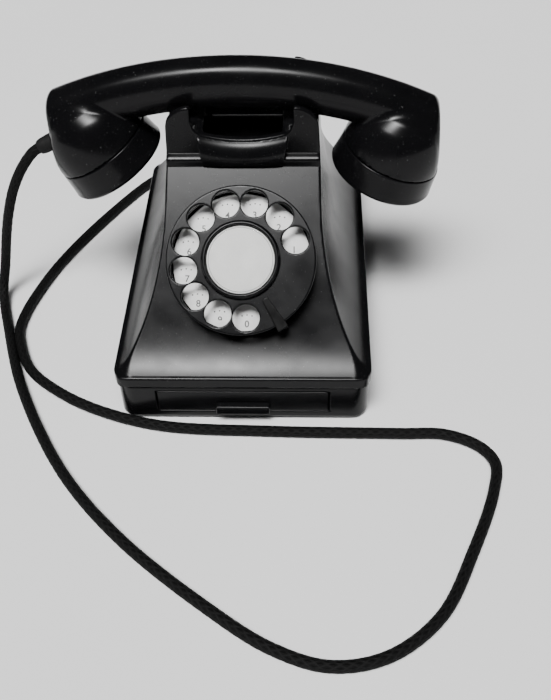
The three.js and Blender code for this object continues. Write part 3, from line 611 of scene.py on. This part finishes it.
def housing_field(x, y, z):
    form = housing_form(x, y, z)
    plinth = prism(x, y, (0, (FRONT + BACK) / 2), (HALF_WIDTH, (BACK - FRONT) / 2), PLINTH_CORNER)
    plinth = meet(plinth, z - PLINTH_TOP, 0.9)
    outside = meet(form, ear_outline(x, y, z), 1.6)
    outside = merge(outside, finger_lip(x, y, z), 0.3)
    outside = merge(outside, plinth, 0.5)
    outside = carve(outside, ear_gap(x, z), 1.2)
    outside = carve(outside, handle_trough(y, z), 1.2)
    inner_front, inner_back = TOWER_FRONT + EAR_THICKNESS, TOWER_BACK - EAR_THICKNESS
    pocket = block(x, y, z, (-21, inner_front, FACE_TOP_Z + 2), (21, inner_back, EAR_TIP + 9), 1.5)
    outside = carve(outside, pocket, 0.4)
    room = block(np.abs(x), y, z, (24.5, inner_front, FACE_TOP_Z - 6), (38, inner_back, SADDLE_Z - 4))
    outside = carve(outside, room)
    bore = PLUNGER_BORE - np.maximum(0, 110 - z)
    outside = carve(outside, round_bar(np.abs(x), y, (PLUNGER_X, HANDSET_Y), bore), 0.5)
    dial_x, dial_y, dial_z = on_face(x, y, z)
    opening = np.maximum(np.hypot(dial_x, dial_y) - 33, slab(dial_z, -20, 20))
    outside = carve(outside, opening, 0.4)
    shell = carve(outside, meet(form + WALL, z - FACE_TOP_Z + 1.5, 1))
    for place in SCREW_PLACES:
        boss = meet(round_bar(x, y, place, 4.8), z - PLINTH_TOP + 0.5)
        shell = carve(merge(shell, boss, 0.5), meet(round_bar(x, y, place, 2.3), z - PLINTH_TOP + 2))
    return meet(shell, PLINTH_BOTTOM - z, 0.5)


settle(skin("housing_moulding", housing_field, housing_low, housing_high, 0.85 * FINE),
       PHENOLIC, "phenolic", "base", "housing")


# ---------------------------------------------------------------- base tray and drawer

drawer_low, drawer_high = box_mm("drawer")
pull_low, pull_high = box_mm("drawer_pull")
FOOT_PLACES = [middle_of(f"foot_{number}")[:2] for number in range(1, 5)]
BUSH_PLACES = [middle_of(node)[[0, 2]] for node in ("cord_bush_base", "line_inlet")]
TRAY_WALL = 3
TRAY_FLOOR = 5.5
RAIL_TOP = 22.7
SCREW_HEAD_TOP = 4.4
FOOT_RECESS = 3.5
BUSH_NECK = 4


def tray_field(x, y, z):
    middle, half = (tray_low + tray_high) / 2, (tray_high - tray_low) / 2
    outside = prism(x, y, middle[:2], half[:2], PLINTH_CORNER)
    inside = meet(outside + TRAY_WALL, TRAY_FLOOR - z, 1)
    tray = carve(meet(outside, slab(z, tray_low[2], tray_high[2]), 1), inside, 0.6)
    rails = block(np.abs(x), y, z, (drawer_high[0] + 0.6, tray_low[1] + 1, TRAY_FLOOR - 1),
                  (drawer_high[0] + 3.4, tray_high[1] - 1, RAIL_TOP), 0.3)
    tray = merge(tray, rails, 0.3)
    for place in SCREW_PLACES:
        post = meet(round_bar(x, y, place, 5.5), slab(z, TRAY_FLOOR - 1, tray_high[2]), 0.3)
        bore = round_bar(x, y, place, np.where(z < SCREW_HEAD_TOP, 4.6, 2.3))
        tray = carve(merge(tray, post, 0.5), bore)
    for place in FOOT_PLACES:
        tray = carve(tray, meet(round_bar(x, y, place, 7.3), z - FOOT_RECESS), 0.3)
    for place in BUSH_PLACES:
        tray = carve(tray, meet(round_bar(x, z, place, BUSH_NECK + 0.3), tray_high[1] - 8 - y))
    doorway = block(x, y, z, (drawer_low[0] - 0.3, FRONT - 5, drawer_low[2] - 0.3),
                    (drawer_high[0] + 0.3, tray_low[1] + TRAY_WALL + 1, drawer_high[2] + 0.3), 0.3)
    return carve(tray, doorway, 0.25)


def drawer_field(x, y, z):
    outside = block(x, y, z, drawer_low, drawer_high, 0.5)
    room = block(x, y, z, drawer_low + (1.8, 2.8, 1.8), drawer_high + (-1.8, -1.8, 9), 1)
    return carve(outside, room, 0.4)


def pull_field(x, y, z):
    bar = block(x, y, z, pull_low, pull_high + (0, 4, 0), 0.9)
    return meet(bar, y - pull_high[1])


settle(skin("base_moulding", tray_field, tray_low, tray_high, 1.2 * FINE),
       PHENOLIC, "phenolic", "base", "base_tray")
settle(skin("drawer_moulding", drawer_field, drawer_low, drawer_high, 0.9 * FINE),
       PHENOLIC, "phenolic", "drawer", "drawer")
settle(skin("drawer_pull_bar", pull_field, pull_low, pull_high, 0.35 * FINE),
       PHENOLIC, "phenolic", "drawer", "drawer_pull")


# ---------------------------------------------------------------- dial

DIAL_PLACE = Matrix.Translation(Vector(dial_centre)) @ Matrix.Rotation(FACE_SLOPE, 4, "X")
NUMBERS_PROUD = 5.3                   # face of the number ring above the dial face
LABEL_RADIUS = 17.5


def wheel_field(x, y, z):
    disc = slab(z, DIAL_PROUD - WHEEL_THICKNESS, DIAL_PROUD)
    wheel = meet(np.hypot(x, y) - WHEEL_RADIUS, disc, 0.9)
    for angle in HOLE_ANGLES:
        centre = HOLE_CIRCLE * math.cos(angle), HOLE_CIRCLE * math.sin(angle)
        wheel = carve(wheel, round_bar(x, y, centre, HOLE_RADIUS), 0.7)
    return carve(wheel, round_bar(x, y, (0, 0), 2.8))


def stop_field(x, y, z):
    """The stop: a narrow finger over the wheel, on a riser from the edge of the dial."""
    cos, sin = math.cos(STOP_ANGLE), math.sin(STOP_ANGLE)
    out, across = x * cos + y * sin, np.abs(y * cos - x * sin)
    width = np.clip(1.6 + (out - STOP_TIP) * 0.084, 1.6, 3)
    sweep = meet(across - width, slab(out, STOP_TIP, WHEEL_RADIUS + 3), 1.2)
    finger = meet(sweep, slab(z, DIAL_PROUD + 0.6, DIAL_PROUD + 2), 0.4)
    riser = block(out, across, z, (WHEEL_RADIUS + 1, -3, 2.2),
                  (WHEEL_RADIUS + 3, 3, DIAL_PROUD + 1.5), 0.4)
    tongue = block(out, across, z, (38.2, -3, 2.2), (WHEEL_RADIUS + 2, 3, 4), 0.3)
    return merge(merge(finger, riser, 0.4), tongue, 0.4)


def add_dial():
    floor = NUMBERS_PROUD - 1.3
    case = turned("dial_bezel", [[4, floor], [4, floor - 1.8], [29.5, floor - 1.8], [29.5, -21], [31, -21],
                                 [31, 0.3], [37.8, 0.3], [37.8, 7.6], [37.4, 8.2], [36.8, 8.2],
                                 [36.8, floor]], 0.4, DIAL_PLACE, closed=True)
    settle(case, PHENOLIC, "phenolic", "base", "dial_case")
    ring = turned("number_plate", [[19, floor + 0.3], [36.2, floor + 0.3], [36.2, NUMBERS_PROUD],
                                   [19, NUMBERS_PROUD]], 0.25, DIAL_PLACE, 128, closed=True)
    settle(ring, ENAMEL, "enamel", "base", "number_ring")
    wheel_low = (-WHEEL_RADIUS, -WHEEL_RADIUS, DIAL_PROUD - WHEEL_THICKNESS)
    wheel_high = (WHEEL_RADIUS, WHEEL_RADIUS, DIAL_PROUD)
    wheel = skin("finger_wheel_disc", wheel_field, wheel_low, wheel_high, 0.45 * FINE, DIAL_PLACE)
    settle(wheel, PHENOLIC, "phenolic", "finger_wheel", "finger_wheel")
    stop = skin("finger_stop_bent", stop_field, (10, -40, 2), (28, -18, 18), 0.35 * FINE, DIAL_PLACE)
    settle(stop, JAPAN, "steel", "base", "finger_stop")
    low, high = DIAL_PROUD + 0.3, DIAL_PROUD + 3.2
    rim = turned("label_rim", [[17.9, low], [20.6, low], [20.5, high - 1.6], [19.4, high], [18.4, high],
                               [17.9, high - 0.5]], 0.6, DIAL_PLACE, 128, closed=True)
    settle(rim, PHENOLIC, "phenolic", "finger_wheel", "label_ring")
    card_top = low + 0.6
    label = turned("label_disc", [[0, low], [LABEL_RADIUS, low], [LABEL_RADIUS, card_top], [0, card_top]],
                   0.2, DIAL_PLACE, 128)
    settle(label, CARD, "card", "finger_wheel", "label_card")
    # A thin dark ring just inside the card's edge: painted shade, standing in for the shadow that the
    # window's edge casts on the card.
    inner, outer = LABEL_RADIUS - 1, LABEL_RADIUS - 0.75
    under, over = card_top - 0.05, card_top + 0.05
    window_edge_shade = turned("label_window_edge_shade", [[inner, under], [outer, under], [outer, over], [inner, over]],
                    0.02, DIAL_PLACE, 128, closed=True)
    settle(window_edge_shade, INK, "phenolic", "finger_wheel")
    window = turned("label_glass", [[0, low + 1], [LABEL_RADIUS, low + 1], [LABEL_RADIUS, low + 1.5],
                                    [LABEL_RADIUS - 0.9, low + 2], [0, low + 2]], 0.3, DIAL_PLACE, 128)
    settle(window, WINDOW, "window", "finger_wheel", "label_window")


def add_digit(digit, x, y):
    """A printed digit on the number plate, upright, centred on x and y in the dial's axes."""
    text = bpy.data.curves.new(f"digit_{digit}", "FONT")
    text.body = digit
    text.size = 5
    text.extrude = 0.02
    text.offset = 0.05
    text.align_x, text.align_y = "CENTER", "CENTER"
    source = bpy.data.objects.new(f"digit_{digit}_text", text)
    bpy.context.scene.collection.objects.link(source)
    bpy.context.view_layer.update()
    mesh = bpy.data.meshes.new_from_object(source)
    bpy.data.objects.remove(source)
    print_mark(f"digit_{digit}", mesh, x, y)


def print_mark(name, mesh, x, y):
    """A printed shape on the number plate."""
    mark = bpy.data.objects.new(name, mesh)
    place = DIAL_PLACE @ Matrix.Translation(Vector((x, y, NUMBERS_PROUD + 0.03)))
    mesh.transform(Matrix.Scale(MM, 4) @ place)
    bpy.context.scene.collection.objects.link(mark)
    settle(mark, INK, "phenolic", "base")


def add_printing():
    """A digit low in each finger hole, with three plain dots over every digit but the first."""
    for digit, angle in zip("1234567890", HOLE_ANGLES):
        x, y = HOLE_CIRCLE * math.cos(angle), HOLE_CIRCLE * math.sin(angle)
        add_digit(digit, x * 0.97, y * 0.97 - 3.6)
        if digit == "1":
            continue
        for dot in (-1, 0, 1):
            mesh = bpy.data.meshes.new(f"dot_{digit}_{dot + 2}")
            rim = [(0.4 * math.cos(a), 0.4 * math.sin(a), 0) for a in np.arange(16) * math.pi / 8]
            mesh.from_pydata(rim, [], [range(16)])
            print_mark(mesh.name, mesh, x * 0.99 + dot * 2.6, y * 0.99 + 1.9 - 0.5 * abs(dot))


add_dial()
add_printing()


# ---------------------------------------------------------------- handset

HANDSET_ASKEW = math.radians(-1.5)    # it lies a little turned in the cradle
HANDSET_PLACE = Matrix.Translation((-0.7, HANDSET_Y - 1, 0)) @ Matrix.Rotation(HANDSET_ASKEW, 4, "Z")
CREST_Z = box_mm("handset_body")[1][2]
HALF_LENGTH = 106
HANDLE_HALF_HEIGHT, HANDLE_HALF_WIDTH = 13.7, 11.5
OVAL_POWER = 2.15                     # 2 makes the handle's section an ellipse, and more a fuller oval
TRANSMITTER_DROP, RECEIVER_DROP = 20.5, 22.5      # how far each end hangs below the crest
ENDS = {
    "transmitter": {"x": -70.8, "z": 92, "tilt": math.radians(31)},
    "receiver": {"x": 75.3, "z": 88.3, "tilt": math.radians(-20)},
}
SEAM_HEIGHT = 15.5
SEAM_RADIUS = 28
CUP_TOP = 46.5
SHOULDER_CENTRE, SHOULDER_RADIUS = (-40.8, -12.6), 80
WELL_RADIUS, WELL_TOP = 21.8, 26      # the room for a capsule inside each cup
TRANSMITTER_END, RECEIVER_END = -103.2, 105.5     # the flat ends, at the height END_Z
END_Z = 110
END_LEAN = 0.06                       # how far the flat ends lean for each millimetre of height


def in_end(end, x, y, z):
    """The same place in an end's own axes, with z = 0 at the rim of its cap."""
    cos, sin = math.cos(end["tilt"]), math.sin(end["tilt"])
    x, z = x - end["x"], z - end["z"]
    return x * cos + z * sin, y, z * cos - x * sin


def rounded(u, v, u_reach, v_reach, power):
    """About the distance to an oval of these half sizes; u and v are not negative."""
    u, v = u / u_reach, v / v_reach
    q = (u ** power + v ** power + 1e-9) ** (1 / power)
    return (q - 1) / np.hypot((u / q) ** (power - 1) / u_reach, (v / q) ** (power - 1) / v_reach)


def handle_field(x, y, z):
    """An oval bar that grows a little thicker and wider towards its drooping ends."""
    run = np.minimum(np.abs(x) / HALF_LENGTH, 1.05)
    drop = np.where(x < 0, TRANSMITTER_DROP, RECEIVER_DROP)
    top = CREST_Z - drop * run ** 2 - 1.8 * run ** 4
    half_height = HANDLE_HALF_HEIGHT + 2.2 * run ** 3 - 0.9 * run ** 4
    half_width = HANDLE_HALF_WIDTH + 1.5 * run ** 2
    lean = np.sqrt(1 + (2 * drop * x / HALF_LENGTH ** 2) ** 2)
    return rounded(np.abs(y), np.abs(z - top + half_height), half_width, half_height, OVAL_POWER) / lean


def cup_field(x, y, z):
    """A bell over the seam, in an end's own axes: a side, a long round shoulder and a flat top."""
    r = np.hypot(x, y)
    side = r - SEAM_RADIUS + 0.03 * (z - SEAM_HEIGHT)
    shoulder = round_bar(r, z, SHOULDER_CENTRE, SHOULDER_RADIUS)
    bell = meet(meet(side, shoulder, 5), z - CUP_TOP, 6)
    return meet(bell, SEAM_HEIGHT + 0.3 - z, 0.7)


def handset_field(x, y, z):
    body = handle_field(x, y, z)
    for end in ENDS.values():
        body = merge(body, cup_field(*in_end(end, x, y, z)), 2.5)
    body = meet(body, slab(x + END_LEAN * (z - END_Z), TRANSMITTER_END, RECEIVER_END), 3)
    for end in ENDS.values():
        local_x, local_y, local_z = in_end(end, x, y, z)
        off_axis = np.hypot(local_x, local_y)
        body = carve(body, meet(local_z - SEAM_HEIGHT - 0.3, off_axis - 32), 0.5)
        body = carve(body, meet(local_z - WELL_TOP, off_axis - WELL_RADIUS), 0.5)
    return body


def cap_field(x, y, z):
    """A cap that screws on below the seam, with a rim, a dished middle and a ring of holes."""
    r = np.hypot(x, y)
    wall = r - np.interp(z, [-0.4, 2, 4.5, SEAM_HEIGHT], [28.4, 29.5, 29.1, SEAM_RADIUS])
    under = np.interp(r, [0, 14, 23.5, 25.5, 29.5], [3.5, 2.5, -0.1, -0.4, -0.4]) - z
    body = meet(meet(wall, under, 1.6), z - SEAM_HEIGHT, 0.7)
    body = carve(body, meet(7 - z, r - 23.8), 0.5)
    for ring_radius, count in ((0, 1), (6, 6), (12, 12)):
        for hole in range(count):
            angle = 2 * math.pi * hole / count
            centre = ring_radius * math.cos(angle), ring_radius * math.sin(angle)
            body = carve(body, meet(round_bar(x, y, centre, 1.3), z - 6), 0.3)
    return body


def add_handset():
    body = skin("handset_moulding", handset_field, (-112, -29, 80), (108, 29, CREST_Z), 1.1 * FINE,
                HANDSET_PLACE)
    settle(body, PHENOLIC, "phenolic", "handset", "handset_body")
    for name, end in ENDS.items():
        place = (HANDSET_PLACE @ Matrix.Translation((end["x"], 0, end["z"]))
                 @ Matrix.Rotation(-end["tilt"], 4, "Y"))
        cap = skin(f"{name}_cap_moulding", cap_field, (-30, -30, -1), (30, 30, SEAM_HEIGHT + 0.5),
                   0.55 * FINE, place)
        settle(cap, PHENOLIC, "phenolic", "handset", f"{name}_cap")


add_handset()


# ---------------------------------------------------------------- cord bushes

def bush_place(node, axis):
    """Where a bush made around Z goes: the middle of the CAD node, Z along axis."""
    return Matrix.Translation(Vector(middle_of(node))) @ axis.to_track_quat("Z", "Y").to_matrix().to_4x4()


def add_bushes():
    for node, bore in (("cord_bush_base", 3.2), ("line_inlet", 1.6)):
        outline = [[bore, -3.65], [BUSH_NECK, -3.65], [BUSH_NECK, 0.65], [6, 0.65], [5.7, 2.6], [5.2, 3.65],
                   [bore, 3.65]]
        bush = turned(f"{node}_moulding", outline, 0.5, bush_place(node, Vector((0, 1, 0))), 48, closed=True)
        settle(bush, RUBBER, "rubber", "base", node)
    out = Vector(CORD_ROUTE[1]) - Vector(CORD_ROUTE[0])
    outline = [[3.2, -6.5], [4.7, -6.5], [4.5, 0], [3.9, 2.5], [3.2, 2.5]]
    sleeve = turned("cord_sleeve", outline, 0.5, bush_place("cord_bush_handset", out), 48, closed=True)
    settle(sleeve, RUBBER, "rubber", "handset", "cord_bush_handset")


add_bushes()


# ---------------------------------------------------------------- pieces kept as they are

KEPT = [
    (RUBBER, ["foot_1", "foot_2", "foot_3", "foot_4"]),
    (STEEL, ["base_screw_1", "base_screw_2", "base_screw_3", "base_screw_4", "chassis_plate",
             "gong_post_left", "gong_post_right", "ringer_yoke", "clapper_bracket", "capacitor_can",
             "switch_lever", "lever_pin", "switch_bracket", "dial_shaft", "governor_shaft",
             "transmitter_capsule", "receiver_capsule"]),
    (BRASS, ["gong_left", "gong_right", "clapper", "contact_springs", "main_gear", "pulse_cam",
             "governor_frame", "pulse_springs"]),
    (WINDING, ["ringer_coil_left", "ringer_coil_right", "induction_coil"]),
    (FIBRE, ["terminal_block", "spring_shelf"]),
    (CHROME, ["cradle_plunger_left", "cradle_plunger_right"]),
]


def dress(node, look):
    """Gives a CAD piece its finish, smooth shading and slightly broken edges."""
    piece = frame["nodes"][node]
    piece.data.materials.clear()
    piece.data.materials.append(look)
    piece.data.polygons.foreach_set("use_smooth", [True] * len(piece.data.polygons))
    edges = piece.modifiers.new("edges", "BEVEL")
    edges.width = 0.0003
    edges.segments = 2
    edges.angle_limit = math.radians(40)
    edges.harden_normals = True


for look, nodes in KEPT:
    for node in nodes:
        dress(node, look)


# ---------------------------------------------------------------- table and light

TABLE_REACH = 4                       # metres from the middle of the table to each side
LIGHT_FROM = Vector((-0.13, -0.38, 0.92)).normalized()
LIGHT_WIDTH, LIGHT_DEPTH = 0.465, 0.235
LIGHT_PEAK = 92.16                    # strength in the middle of the bright patch
SKY_STRENGTH = 0.03                   # strength all round it


def add_floor():
    """A plain pale table that fills the camera's own view."""
    mesh = bpy.data.meshes.new("table")
    corners = [(x * TABLE_REACH, y * TABLE_REACH, 0) for x, y in ((-1, -1), (1, -1), (1, 1), (-1, 1))]
    mesh.from_pydata(corners, [], [(0, 1, 2, 3)])
    floor = bpy.data.objects.new("table", mesh)
    bpy.context.scene.collection.objects.link(floor)
    floor.data.materials.append(surface_material("table_paint", (0.86, 0.86, 0.86), (0.9, 0.9, 0.9), 0.4,
                                                 (0.6, 0.75), 0.003, 0.00002))


def add_light():
    """Soft light from above and a little in front: a bright patch of sky that fades at its edge."""
    world = bpy.data.worlds.new("studio")
    bpy.context.scene.world = world
    world.use_nodes = True
    tree = world.node_tree
    ray = add_node(tree, "ShaderNodeTexCoord").outputs["Generated"]
    right = LIGHT_FROM.cross((0, 1, 0)).normalized()
    offsets = {}
    for axis, (way, reach) in enumerate(((right, LIGHT_WIDTH), (LIGHT_FROM.cross(right), LIGHT_DEPTH))):
        product = add_node(tree, "ShaderNodeVectorMath", {0: ray, 1: way / reach}, operation="DOT_PRODUCT")
        offsets[axis] = product.outputs["Value"]
    place = add_node(tree, "ShaderNodeCombineXYZ", offsets).outputs[0]
    off_middle = add_node(tree, "ShaderNodeVectorMath", {0: place}, operation="LENGTH").outputs["Value"]
    fade = spread(tree, off_middle, 0.0, math.sqrt(LIGHT_PEAK), start=1.0, end=0.0)
    total = arithmetic(tree, "ADD", arithmetic(tree, "POWER", fade, 2.0), SKY_STRENGTH)
    sky = tree.nodes["Background"]
    sky.inputs["Color"].default_value = (1, 1, 1, 1)
    tree.links.new(total, sky.inputs["Strength"])


add_floor()
add_light()
